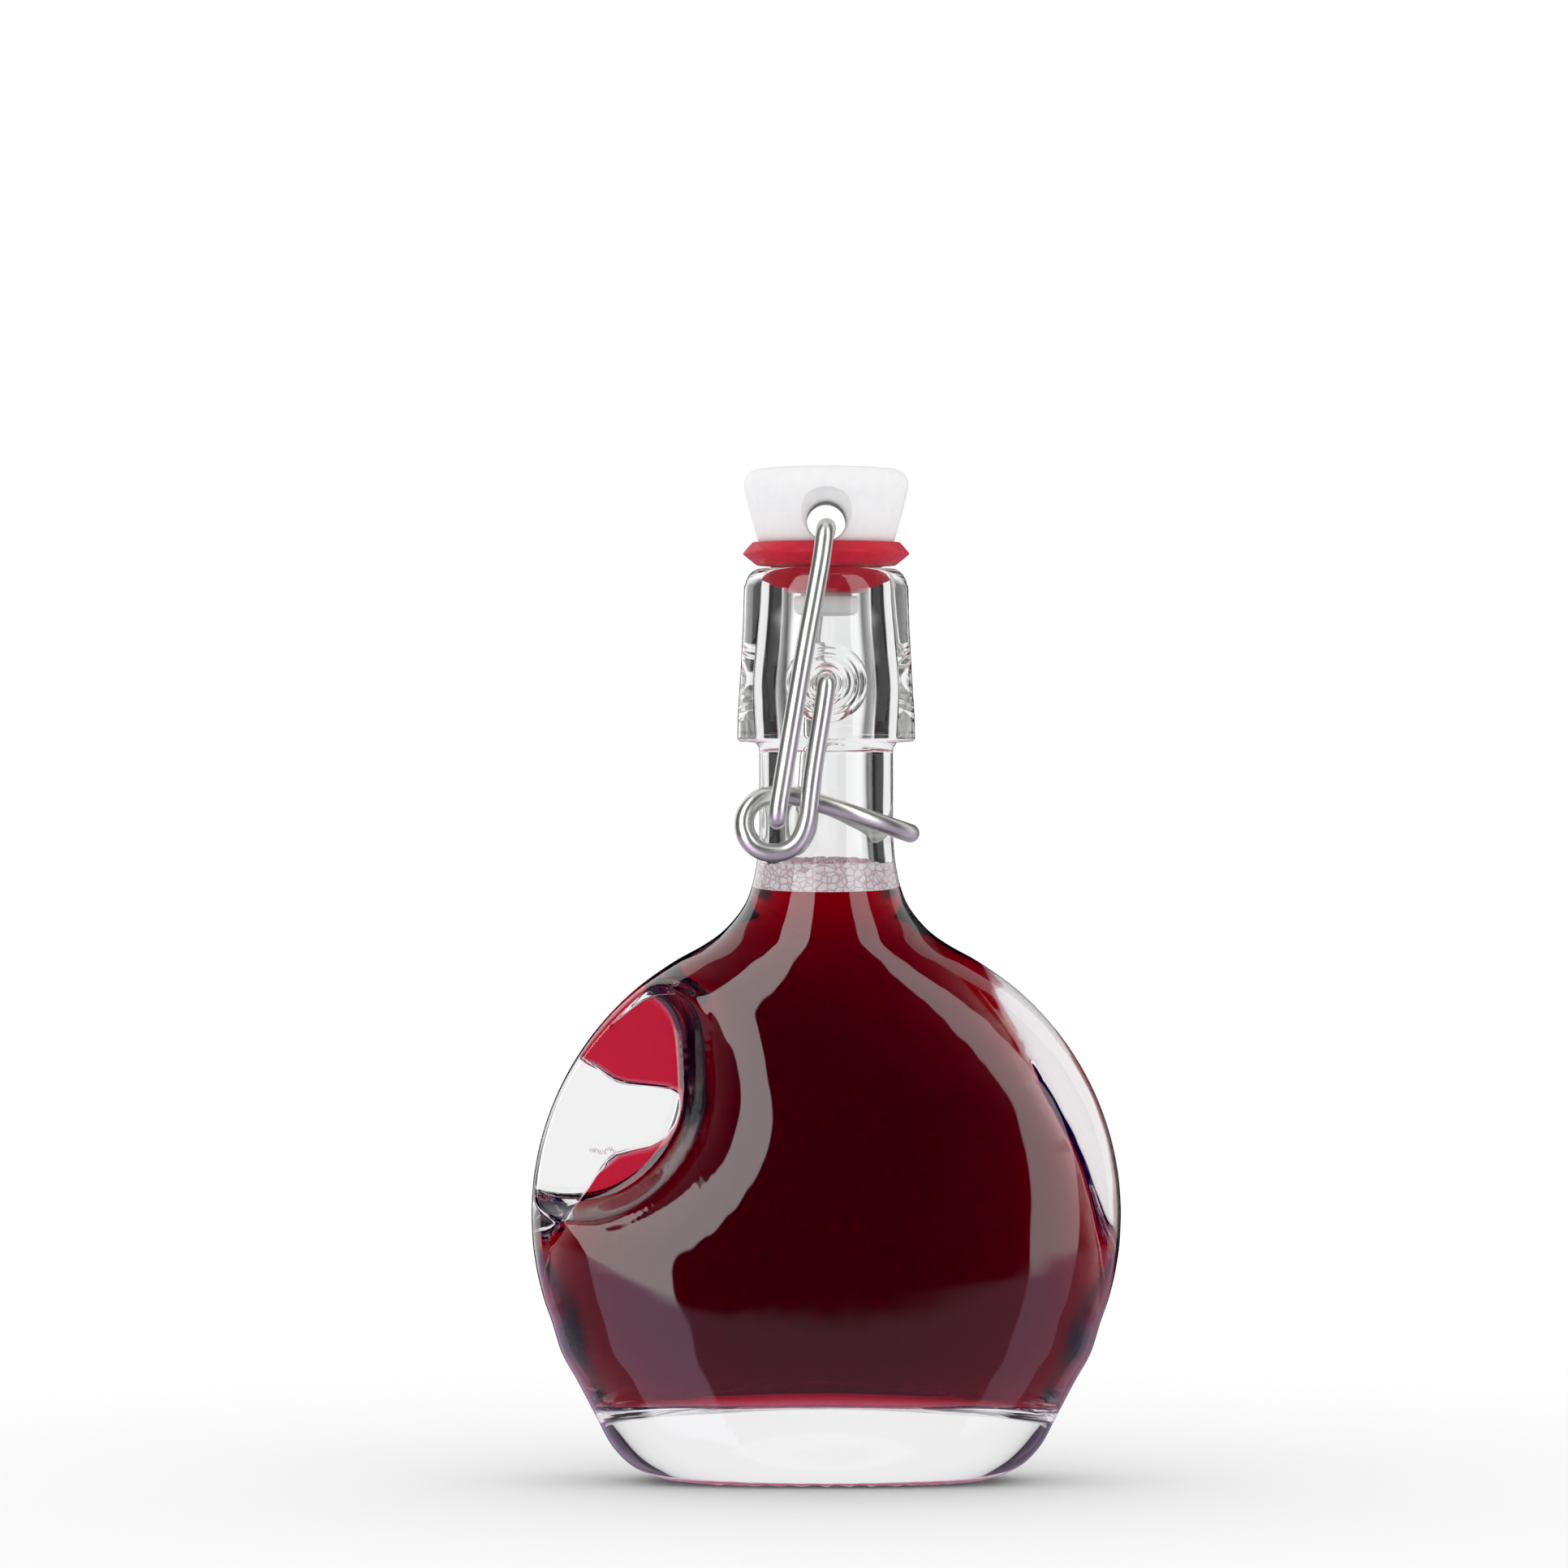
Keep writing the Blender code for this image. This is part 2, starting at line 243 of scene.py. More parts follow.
# %% The thumb dents
DENT_X, DENT_Z = -27.4, 42.7
DENT_OUTSIDE = [  # distance from the dent's middle, half depth of the glass there
    (0.0, 4.1),
    (11.4, 4.25),
    (12.5, 4.6),
    (13.1, 5.6),
    (13.6, 7.1),
    (14.1, 8.8),
    (14.55, 9.8),
    (14.95, 10.17),
    (15.25, 10.32),
    (15.6, 10.58),
    (16.2, 11.05),
    (17.0, 11.5),
    (18.0, 12.1),
    (19.0, 12.62),
    (20.0, 13.04),
    (21.5, 13.5),
    (23.0, 13.82),
    (25.0, 14.15),
    (30.0, 14.9),
    (40.0, 16.5),
]
DENT_INSIDE = [
    (0.0, 1.9),
    (11.8, 2.0),
    (13.2, 2.5),
    (14.2, 4.0),
    (15.5, 6.4),
    (17.2, 8.6),
    (19.5, 10.6),
    (22.0, 11.8),
    (27.0, 12.8),
    (40.0, 14.5),
]


DENT_SIDE = 2.0  # only this far across does the dent reach
DENT_BLEND = 1.2
UPPER_REACH = 1.12  # above its middle the dent is this much shorter
squarer_above = fair([(0.0, 2.0), (6.0, 3.5)])


def dent_radius(x, z):
    """Distance from the dent's middle. Above it the dent is squarer, as the thumb pad is."""
    across, up = abs(x - DENT_X), z - DENT_Z
    power = squarer_above(up)
    rise = abs(up) * (1.0 if up < 0 else UPPER_REACH)
    return (across**power + rise**power) ** (1 / power)


def soft_least(a, b, blend):
    """The lesser of two depths, rounded over where they cross."""
    share = max(blend - abs(a - b), 0.0) / blend
    return min(a, b) - share * share * blend * 0.25


# %% [markdown]
# ## The cavity
# The glass isn't even: it is a thin wall on the left, a thick one at the right shoulder, and a heavy
# base. The cavity is its own stack of rings, so its left and right ends are free to wander.

# %% Cavity, in millimetres
CAVITY = [  # height, left end, right end, half depth
    (98.2, -6.0, 6.0, 6.0),
    (97.9, -5.4, 5.4, 5.4),
    (97.5, -4.95, 4.95, 4.95),
    (97.0, -4.72, 4.72, 4.72),
    (95.8, -4.62, 4.62, 4.62),
    (94.5, -4.66, 4.66, 4.66),
    (90.0, -4.95, 4.95, 4.95),
    (85.0, -5.25, 5.25, 5.15),
    (79.0, -5.0, 5.0, 5.0),
    (70.0, -5.0, 5.0, 5.0),
    (66.5, -5.2, 5.2, 5.1),
    (64.5, -5.55, 5.5, 5.35),
    (62.8, -6.2, 6.1, 5.7),
    (60.2, -8.0, 7.8, 6.5),
    (57.6, -10.4, 10.3, 7.6),
    (55.0, -14.3, 13.0, 8.8),
    (51.5, -20.3, 16.0, 10.2),
    (48.5, -23.9, 18.3, 10.9),
    (46.6, -25.8, 19.7, 11.2),
    (45.4, -26.2, 20.4, 11.3),
    (44.2, -24.4, 21.2, 11.4),
    (43.2, -23.0, 21.8, 11.45),
    (42.7, -21.6, 22.1, 11.5),
    (42.45, -19.2, 22.25, 11.5),
    (42.2, -17.0, 22.4, 11.5),
    (41.6, -15.8, 22.75, 11.55),
    (40.1, -15.3, 23.6, 11.6),
    (38.4, -15.8, 24.5, 11.65),
    (37.0, -17.2, 25.2, 11.7),
    (36.2, -19.0, 25.5, 11.7),
    (35.8, -21.0, 25.65, 11.7),
    (35.4, -22.6, 25.8, 11.7),
    (34.6, -23.6, 26.1, 11.7),
    (33.0, -24.7, 26.6, 11.75),
    (30.0, -26.5, 27.3, 11.8),
    (25.0, -28.4, 28.1, 11.8),
    (20.0, -28.6, 28.3, 11.8),
    (15.6, -27.1, 27.4, 11.5),
    (12.0, -24.7, 25.4, 10.9),
    (9.5, -22.6, 23.2, 10.0),
    (8.2, -20.8, 21.3, 8.9),
    (7.55, -18.0, 18.4, 7.2),
    (7.3, -12.5, 12.8, 4.6),
]
FLOOR_Z = CAVITY[-1][0]
FINGER_LOW, FINGER_HIGH = 24.0, 50.0
FINGER = [row[:2] for row in CAVITY if FINGER_LOW < row[0] < FINGER_HIGH]
LIP_WIDTH, LIP_HALF, LIP_SLOPE = 2.2, 2.6, 4.0  # how the cavity closes round the finger
LIP_FROM, LIP_TO, LIP_FADE = 34.0, 45.0, 1.2  # heights beyond which that rounding fades


def edge_of_finger(x, z):
    """Distance from a point of the cavity to its left edge, along the finger's outline."""
    nearest = 9.0
    for (z0, x0), (z1, x1) in zip(FINGER, FINGER[1:]):
        along = ((z - z0) * (z1 - z0) + (x - x0) * (x1 - x0)) / ((z1 - z0) ** 2 + (x1 - x0) ** 2)
        along = min(max(along, 0.0), 1.0)
        gap = math.hypot(z - z0 - along * (z1 - z0), x - x0 - along * (x1 - x0))
        nearest = min(nearest, gap)
    return nearest


# %% [markdown]
# The stacked rings are plain ellipses. This is the sculpting step: each point is moved outwards to
# its squared section, and then pressed in by the dent wherever the dent lies deeper. The floor of
# the cavity is pushed up last, as a blown base is.


# %% Square the sections and press the dents
outside_half, outside_depth = fair(OUTSIDE, 1), fair(OUTSIDE, 2)
cavity_left, cavity_right, cavity_depth = fair(CAVITY, 1), fair(CAVITY, 2), fair(CAVITY, 3)
squareness = fair(SQUARENESS)


def lip_depth(inwards, z):
    """Half depth of the cavity this far in from the finger, rounded like the end of a bubble."""
    lip = LIP_HALF * math.sqrt(1 - (1 - min(inwards / LIP_WIDTH, 1.0)) ** 2)
    beyond = max(LIP_FROM - z, z - LIP_TO, 0.0)
    return lip + LIP_SLOPE * max(inwards - LIP_WIDTH, 0.0) + LIP_FADE * beyond


def shape_sections(vertices, ends, dent_depth, fingered=False):
    """Move each point out to its squared section, then in wherever the dent lies deeper."""
    for vertex in vertices:
        z = vertex.co.z / MM
        left, right, depth = ends(z)
        middle, half = (left + right) / 2, (right - left) / 2
        across, side = (vertex.co.x / MM - middle) / half, vertex.co.y / MM / depth
        power = squareness(z)
        reach = (abs(across) ** power + abs(side) ** power) ** (-1 / power)
        x, y = middle + half * across * reach, depth * abs(side) * reach
        if x < DENT_SIDE:
            y = soft_least(y, dent_depth(dent_radius(x, z)), min(DENT_BLEND, y + 0.001))
            if fingered and x < -8.0 and FINGER_LOW < z < FINGER_HIGH:
                y = min(y, lip_depth(edge_of_finger(x, z), z))
        vertex.co.x, vertex.co.y = x * MM, math.copysign(max(y, 0.0), side) * MM


def outside_ends(z):
    return -outside_half(z), outside_half(z), outside_depth(z)


def cavity_ends(z):
    return cavity_left(z), cavity_right(z), cavity_depth(z)


DOME_LENGTH, DOME_DEPTH, DOME_TOP = 23.0, 8.5, 12.0
ARCH_RISE, DOME_RISE = 0.9, 2.6


def raise_floor(vertices):
    """Push the middle of the cavity's floor up into a low dome, leaving a lip all round."""
    for vertex in vertices:
        x, y, z = (c / MM for c in vertex.co)
        if z < DOME_TOP:
            along = max(1 - (x / DOME_LENGTH) ** 2, 0.0)
            across = max(1 - (y / DOME_DEPTH) ** 2, 0.0)
            share = (DOME_TOP - z) / (DOME_TOP - FLOOR_Z)
            vertex.co.z += along * (ARCH_RISE + DOME_RISE * across) * share * MM


def heights(low, high, step):
    count = max(round((high - low) / step), 1)
    return [low + (high - low) * i / count for i in range(count)]


# %% [markdown]
# The flask is one stack: out from the middle of the foot, up the outside, over the lip and down the
# cavity to its floor. So it is one closed wall of glass with the right thickness everywhere.

# %% Build the flask
FINE = 1.0
foot_rings = [(z, -half, half, depth) for z, half, depth in UNDERSIDE]
body_heights = heights(0.0, 4.0, 0.25 * FINE) + heights(4.0, NECK_TOP, 0.5 * FINE)
body_heights.append(NECK_TOP)
body_rings = [(z, *outside_ends(z)) for z in body_heights]
head_rings = []
for (r0, z0), (r1, z1) in zip(HEAD, HEAD[1:]):
    parts = max(round(abs(z1 - z0) / 0.4 / FINE), 1)
    head_rings += [(r0 + (r1 - r0) * i / parts, z0 + (z1 - z0) * i / parts) for i in range(parts)]
head_rings = round_rings(head_rings + [HEAD[-1]])
cavity_heights = {row[0] for row in CAVITY}
for low, high, step in ((7.6, 66.0, 0.6), (34.4, 37.2, 0.14), (41.4, 44.6, 0.14), (66.0, 97.0, 1.0)):
    cavity_heights |= {round(z, 3) for z in heights(low, high, step * FINE)}
cavity_rings = [(z, *cavity_ends(z)) for z in sorted(cavity_heights, reverse=True)]
all_rings = foot_rings + body_rings + head_rings + cavity_rings
glass = stack_of_rings("flask_glass", AROUND, all_rings, "poked")
print(len(body_rings), "body rings,", len(head_rings), "head rings,", len(cavity_rings), "cavity rings")


# %% Divide the faces round the dents finer
def divide(piece, wanted, cuts=1):
    """Select the faces whose middle is wanted, in millimetres, and subdivide them."""
    nothing_selected()
    bpy.context.view_layer.objects.active = piece
    piece.select_set(True)
    in_edit_mode("DESELECT")
    bpy.ops.object.mode_set(mode="OBJECT")
    for face in piece.data.polygons:
        face.select = wanted(*[c / MM for c in face.center])
    bpy.ops.object.mode_set(mode="EDIT")
    bpy.ops.mesh.select_mode(type="FACE")
    bpy.ops.mesh.subdivide(number_cuts=cuts, smoothness=0.0)
    bpy.ops.object.mode_set(mode="OBJECT")


def near_dent(x, y, z):
    return x < -3.5 and 23.0 < z < 58.0


divide(glass, near_dent)


# %% Sculpt it
def on_outside(vertex):
    x, y, z = (c / MM for c in vertex.co)
    return z < NECK_TOP + 0.1 and (x / outside_half(z)) ** 2 + (y / outside_depth(z)) ** 2 > 0.965


points = glass.data.vertices
outer = [vertex for vertex in points if on_outside(vertex) and vertex.co.z < 66 * MM]
inner = [vertex for vertex in points if not on_outside(vertex) and 7.2 * MM < vertex.co.z < 66 * MM]
foot = {vertex.index for vertex in points[: len(foot_rings) * AROUND]}
outer = [vertex for vertex in outer if vertex.index not in foot]
cavity_points = {vertex.index for vertex in inner}
shape_sections(outer, outside_ends, fair(DENT_OUTSIDE))
shape_sections(inner, cavity_ends, fair(DENT_INSIDE), fingered=True)
raise_floor(inner)
print("flask", [round(size / MM, 1) for size in glass.dimensions], "mm")

# %% [markdown]
# Under the foot a row of small pips keeps the hot glass off the conveyor. The rim is pushed up
# between them, so they stay one body with the glass.

# %% Pips under the foot
PIPS, PIP_HEIGHT, RIM_HEIGHT = 40, 0.34, 0.3
foot_half, foot_depth = OUTSIDE[0][1:]
for vertex in points:
    x, y, z = (c / MM for c in vertex.co)
    if z < RIM_HEIGHT:
        pip = 0.5 + 0.5 * math.cos(PIPS * math.atan2(y / foot_depth, x / foot_half))
        vertex.co.z = (z + PIP_HEIGHT * (1 - pip) * (1 - z / RIM_HEIGHT)) * MM
print(PIPS, "pips")

# %% [markdown]
# The lever's tips turn in a dimple on each side of the head. The faces there are divided finer, then
# pushed in along Y: a shallow ring, then a straight-sided hole that stops short of the bore.

# %% Dimples for the lever
PIVOT_Z = 85.8
HEAD_SIDE = 6.0  # nearer the middle than this is the bore
DIMPLE = [  # distance from the pivot line, depth
    (0.0, 2.95),
    (1.5, 2.9),
    (1.75, 2.6),
    (1.95, 1.6),
    (2.15, 1.05),
    (2.6, 0.82),
    (3.0, 0.78),
    (3.25, 0.5),
    (3.55, 0.42),
    (3.9, 0.16),
    (4.3, 0.0),
]


DIMPLE_EDGE = DIMPLE[-1][0]


def in_dimple(x, y, z, margin=0.3):
    return abs(y) > HEAD_SIDE and math.hypot(x, z - PIVOT_Z) < DIMPLE_EDGE + margin


def press_dimples(piece):
    deep = fair(DIMPLE)
    for vertex in piece.data.vertices:
        x, y, z = (c / MM for c in vertex.co)
        if in_dimple(x, y, z, margin=0.0):
            away = math.hypot(x, z - PIVOT_Z)
            vertex.co.y = math.copysign(abs(y) - deep(away), y) * MM


divide(glass, in_dimple, 3)
press_dimples(glass)
print("dimples", 2 * DIMPLE_EDGE, "mm across")

# %% [markdown]
# The liquid fills the cavity up to the fill line. It is made a hair larger than the cavity, so that
# light passes from glass straight into liquid with no film of air between them.

# %% Liquid
FILL, SKIN = 63.3, 0.02
liquid_heights = [z for z in sorted(cavity_heights, reverse=True) if z < FILL - 0.05]
liquid_rings = [(z, *cavity_ends(z)) for z in [FILL] + liquid_heights]
liquid = stack_of_rings("red_syrup", AROUND, liquid_rings, "poked")
divide(liquid, near_dent)
wall = [vertex for vertex in liquid.data.vertices if math.hypot(*vertex.co.xy) > 1.0 * MM]
shape_sections(wall, cavity_ends, fair(DENT_INSIDE), fingered=True)
raise_floor(liquid.data.vertices)
in_edit_mode()
bpy.ops.mesh.normals_make_consistent(inside=False)
bpy.ops.transform.shrink_fatten(value=SKIN * MM)
bpy.ops.object.mode_set(mode="OBJECT")
print("liquid", [round(size / MM, 1) for size in liquid.dimensions], "mm")

# %% [markdown]
# Every piece is shaded smooth except at its sharp edges, and looked over for holes: in a closed
# surface each edge belongs to exactly two faces.


# %% Smooth shading, and a count of open edges
def smooth(piece, degrees=40):
    nothing_selected()
    piece.select_set(True)
    bpy.context.view_layer.objects.active = piece
    bpy.ops.object.shade_smooth_by_angle(angle=math.radians(degrees), keep_sharp_edges=False)
    return piece


def open_edges(piece):
    uses = {}
    for face in piece.data.polygons:
        for key in face.edge_keys:
            uses[key] = uses.get(key, 0) + 1
    return sum(1 for count in uses.values() if count != 2)


for piece in (glass, liquid):
    smooth(piece, 60)
    print(piece.name, len(piece.data.polygons), "faces,", open_edges(piece), "open edges")

# %% [markdown]
# ## Foam
# Filling the bottle leaves a band of foam in the neck. The bulk is a short plug with an uneven top.
# The bubbles on that top are modelled one by one, and so are a few along the finger of glass and the
# fine ones in the syrup.

# %% Foam band
FOAM_TOP, FOAM_RADIUS = 66.4, 4.6
ON_TOP, BY_FINGER = 0.6, 14  # share of the bubbles on the foam, number along the finger
random.seed(7)


def foam_band():
    rings = []
    for i in range(13):
        z = FILL + 0.02 + (FOAM_TOP - FILL) * i / 12
        left, right, depth = cavity_ends(z)
        rings.append((z, left - SKIN, right + SKIN, depth + SKIN))
    rings.append((FOAM_TOP + 0.05, rings[-1][1] + 0.5, rings[-1][2] - 0.5, rings[-1][3] - 0.5))
    band = stack_of_rings("foam_band", 96, rings, ends="poked")
    for vertex in band.data.vertices:
        if vertex.co.z > (FOAM_TOP - 0.3) * MM:
            vertex.co.z += random.uniform(-0.22, 0.12) * MM
    return smooth(band, 60)


def foam_bubbles(count):
    """Bubbles on the foam, fine ones near both faces of the syrup, and a few along the finger."""
    nothing_selected()
    bpy.ops.mesh.primitive_uv_sphere_add(segments=8, ring_count=6, radius=1.0, location=(0, 0, 0))
    first = bpy.context.object
    shape = first.data
    places = []
    for i in range(count):
        reach, turn = math.sqrt(random.random()), random.uniform(0, 2 * math.pi)
        if i < count * ON_TOP:
            x, y = FOAM_RADIUS * reach * math.cos(turn), FOAM_RADIUS * reach * math.sin(turn)
            places.append((x, y, FOAM_TOP + 0.05, random.uniform(0.2, 0.45)))
        else:
            x, z = random.uniform(-4, 16), random.uniform(14, 50)
            y = random.choice((-1, 1)) * random.uniform(9.4, 10.4)
            places.append((x, y, z, random.uniform(0.03, 0.07)))
    for i in range(BY_FINGER):
        x, z = -25.2 + 2.4 * i / (BY_FINGER - 1), 35.5 + random.uniform(-0.2, 0.3)
        y = random.choice((-1, 1)) * LIP_HALF
        places.append((x, y, z, random.uniform(0.1, 0.22)))
    made = []
    for *at, size in places:
        copy = bpy.data.objects.new("bubble", shape.copy())
        for vertex in copy.data.vertices:
            vertex.co = (vertex.co * size + Vector(at)) * MM
        bpy.context.scene.collection.objects.link(copy)
        made.append(copy)
    bpy.data.objects.remove(first)
    nothing_selected()
    for copy in made:
        copy.select_set(True)
    bpy.context.view_layer.objects.active = made[0]
    bpy.ops.object.join()
    whole = bpy.context.object
    whole.name = whole.data.name = "foam_bubbles"
    bpy.ops.object.shade_smooth()
    return whole


foam = foam_band()
bubbles = foam_bubbles(500)
print("bubbles", len(bubbles.data.polygons), "faces")

# %% [markdown]
# ## Stopper
# One moulding: a head with soft edges, a stem through the gasket and a button that keeps the gasket
# on. The eye for the bail is cut right through, and its mouth is flared on both sides.

# %% Stopper
STOPPER = [  # radius and height, from the button up
    (0.35, 93.2),
    (2.9, 93.2),
    (3.3, 93.4),
    (3.5, 93.8),
    (3.5, 94.9),
    (3.35, 95.15),
    (2.8, 95.2),
    (2.8, 99.85),
    (3.2, 99.9),
    (4.4, 99.9),
    (7.05, 100.8),
    (7.3, 101.0),
    (7.42, 101.4),
    (7.75, 102.6),
    (8.1, 103.8),
    (8.45, 105.1),
    (8.75, 106.3),
    (8.88, 107.0),
    (8.86, 107.6),
    (8.65, 108.15),
    (8.2, 108.6),
    (7.5, 108.88),
    (6.0, 109.05),
    (3.0, 109.17),
    (0.35, 109.2),
]
EYE_Z = 103.15


def eye_cutter():
    """A round bar along Y with flared ends, made as rings and then laid over."""
    bar = [(4.2, 12.0), (3.5, 8.35), (3.05, 7.85), (2.65, 7.5), (2.35, 7.25)]
    bar += [(2.18, 6.95), (2.1, 6.4)]
    profile = [(r, -y) for r, y in bar] + [(r, y) for r, y in reversed(bar)]
    cutter = stack_of_rings("eye", 48, round_rings(profile))
    in_edit_mode()
    bpy.ops.transform.rotate(value=math.pi / 2, orient_axis="X", center_override=(0, 0, 0))
    bpy.ops.transform.translate(value=(0, 0, EYE_Z * MM))
    bpy.ops.object.mode_set(mode="OBJECT")
    return cutter


def cut_out(piece, cutter):
    """Subtract the cutter from the piece, then throw the cutter away."""
    nothing_selected()
    piece.select_set(True)
    bpy.context.view_layer.objects.active = piece
    boolean = piece.modifiers.new("eye", "BOOLEAN")
    boolean.operation, boolean.solver, boolean.object = "DIFFERENCE", "EXACT", cutter
    bpy.ops.object.modifier_apply(modifier="eye")
    bpy.data.objects.remove(cutter)
    return piece


stopper = stack_of_rings("stopper", 96, round_rings(STOPPER), ends="poked")
cut_out(stopper, eye_cutter())
smooth(stopper, 32)
print("stopper", len(stopper.data.polygons), "faces,", open_edges(stopper), "open edges")

# %% [markdown]
# ## Gasket
# A soft ring with a sharp-edged flange that spreads over the lip and a cone that plugs the mouth.
# Its profile closes on itself, so the last ring meets the first.

# %% Gasket
GASKET = [  # radius and height, from the hole over the flange and down to the end of the plug
    (3.1, 99.6),
    (4.6, 99.62),
    (7.55, 100.62),
    (7.62, 100.95),
    (7.75, 101.02),
    (7.95, 101.0),
    (8.3, 100.62),
    (8.72, 100.15),
    (8.93, 99.88),
    (8.96, 99.76),
    (8.88, 99.66),
    (8.4, 99.25),
    (7.6, 98.62),
    (7.4, 98.52),
    (7.0, 98.5),
    (6.1, 98.42),
    (5.75, 98.15),
    (5.45, 97.9),
    (5.0, 97.5),
    (4.77, 97.0),
    (4.7, 96.4),
    (4.66, 95.9),
    (4.45, 95.62),
    (4.0, 95.5),
    (3.1, 95.45),
    (3.1, 99.6),
]
gasket = smooth(stack_of_rings("gasket_ring", 96, round_rings(GASKET), ends="joined"), 38)
print("gasket", len(gasket.data.polygons), "faces,", open_edges(gasket), "open edges")

# %% [markdown]
# ## Wires
# Lever and bail are each one length of round steel wire, bent cold. A curve with a round bevel is
# that wire: only its centre line is drawn, the bends stay round, and the cut ends are capped. It is
# made a mesh once the line is right.


# %% Bent wire
WIRE = 1.0  # radius


def bent_wire(name, line):
    """A wire through the points of its centre line, with slightly rounded ends."""
    nothing_selected()
    bpy.ops.curve.primitive_nurbs_path_add()
    wire = bpy.context.object
    wire.name = wire.data.name = name
    wire.data.splines.clear()
    spline = wire.data.splines.new("NURBS")
    spline.points.add(len(line) - 1)
    for point, place in zip(spline.points, line):
        point.co = (*[c * MM for c in place], 1.0)
    spline.order_u, spline.use_endpoint_u, spline.resolution_u = 3, True, 6
    wire.data.bevel_depth, wire.data.bevel_resolution = WIRE * MM, 6
    wire.data.use_fill_caps = True
    bpy.ops.object.convert(target="MESH")
    wire = bpy.context.object
    in_edit_mode()
    bpy.ops.mesh.remove_doubles(threshold=0.001 * MM)
    bpy.ops.mesh.normals_make_consistent(inside=False)
    bpy.ops.mesh.select_all(action="DESELECT")
    bpy.ops.mesh.select_mode(type="FACE")
    bpy.ops.mesh.select_face_by_sides(number=4, type="GREATER")
    bpy.ops.mesh.bevel(offset=0.18 * MM, segments=3, affect="EDGES")
    bpy.ops.object.mode_set(mode="OBJECT")
    return smooth(wire, 50)


# %% [markdown]
# The lever starts in a dimple, runs down beside the neck, makes a loop for the bail's hook, passes
# inside itself and bends round the neck as the handle. The far half is the same, mirrored.

# %% Lever
OUT, IN = 10.95, 8.5  # distance of the legs and of the handle from the middle
LOOP_X, LOOP_Z, LOOP_R = -5.8, 70.7, 3.05
lever_front = [(0.0, -y, PIVOT_Z) for y in (6.9, 8.0, 9.3, 10.2)]
lever_front += [(-0.02, -10.85, 85.75), (-0.12, -OUT, 85.0), (-0.3, -OUT, 83.6), (-1.0, -OUT, 79.3)]
lever_front += [(-1.5, -OUT, 76.0), (-1.82, -OUT, 73.4), (-2.0, -OUT, 71.6), (-2.4, -OUT, 69.9)]
lever_front += [(-3.2, -OUT, 68.55), (-4.4, -OUT, 67.75)]
for degrees in range(-90, -271, -15):
    turn = math.radians(degrees)
    inward = min(max((-degrees - 150.0) / 120.0, 0.0), 1.0)
    x, z = LOOP_X + LOOP_R * math.cos(turn), LOOP_Z + LOOP_R * math.sin(turn)
    lever_front.append((x, -(OUT + (9.0 - OUT) * inward), z))
lever_front += [(-4.6, -8.75, 73.8), (-3.3, -8.6, 73.65), (-1.6, -IN, 73.15)]
handle = []
for degrees in range(0, 181, 12):
    turn = math.radians(degrees)
    x = 0.4 + 8.7 * math.sin(turn)
    handle.append((x, -IN * math.cos(turn), 72.6 - 0.335 * (x - 0.4)))
lever_back = [(x, -y, z) for x, y, z in reversed(lever_front)]
lever = bent_wire("lever_bent_wire", lever_front + handle + lever_back)
print("lever", len(lever.data.polygons), "faces")

# %% [markdown]
# The bail's hooked ends turn in the lever's loops. Its legs stand a little outwards to clear the
# lever, then draw in above it, and its crossbar carries the stopper.

# %% Bail
HOOK_X, HOOK_Z, CROSSBAR_Z, LEG = -5.25, 71.15, 102.3, 13.25
bail_front = [(HOOK_X, -y, HOOK_Z) for y in (8.2, 9.5, 11.0, 12.2)]
bail_front += [(-5.24, -13.0, 71.25), (-5.18, -LEG, 71.9), (-5.05, -LEG, 73.0), (-4.75, -LEG, 74.8)]
bail_front += [(-3.65, -LEG, 81.5), (-2.45, -LEG, 88.6), (-1.45, -12.75, 94.0), (-0.6, -12.1, 98.6)]
bail_front += [(-0.35, -11.85, 100.4), (-0.22, -11.7, 101.5), (-0.08, -11.1, 102.22)]
bail_front += [(0.0, -y, CROSSBAR_Z) for y in (10.2, 8.0, 4.0)]
bail_back = [(x, -y, z) for x, y, z in reversed(bail_front)]
bail = bent_wire("bail_bent_wire", bail_front + bail_back)
print("bail", len(bail.data.polygons), "faces")

# %% [markdown]
# # Finishes
# Each finish is a Principled shader. What varies over a surface comes from small node groups:
# `grain`, a fine speckle, `ripple`, slow waves left by a mould, and `drawn_marks`, lines from a die.


# %% Shared groups
def new_group(name, inputs, outputs):
    group = bpy.data.node_groups.new(name, "ShaderNodeTree")
    for label, value in inputs:
        socket = group.interface.new_socket(label, in_out="INPUT", socket_type="NodeSocketFloat")
        socket.default_value = value
    for label in outputs:
        group.interface.new_socket(label, in_out="OUTPUT", socket_type="NodeSocketFloat")
    return group, group.nodes.new("NodeGroupInput"), group.nodes.new("NodeGroupOutput")


def noise_group(name, detail, stretch):
    """A noise on Object coordinates, brought to a low and a high value."""
    group, given, result = new_group(
        name, (("Size per metre", 1000.0), ("Low", 0.0), ("High", 1.0)), ("Value",)
    )
    place = group.nodes.new("ShaderNodeTexCoord")
    spread = group.nodes.new("ShaderNodeMapping")
    spread.inputs["Scale"].default_value = stretch
    noise = group.nodes.new("ShaderNodeTexNoise")
    noise.inputs["Detail"].default_value = detail
    span = group.nodes.new("ShaderNodeMapRange")
    span.inputs["From Min"].default_value = 0.3
    span.inputs["From Max"].default_value = 0.7
    link = group.links.new
    link(place.outputs["Object"], spread.inputs["Vector"])
    link(spread.outputs["Vector"], noise.inputs["Vector"])
    link(given.outputs["Size per metre"], noise.inputs["Scale"])
    link(noise.outputs["Fac"], span.inputs["Value"])
    link(given.outputs["Low"], span.inputs["To Min"])
    link(given.outputs["High"], span.inputs["To Max"])
    link(span.outputs["Result"], result.inputs["Value"])
    return group


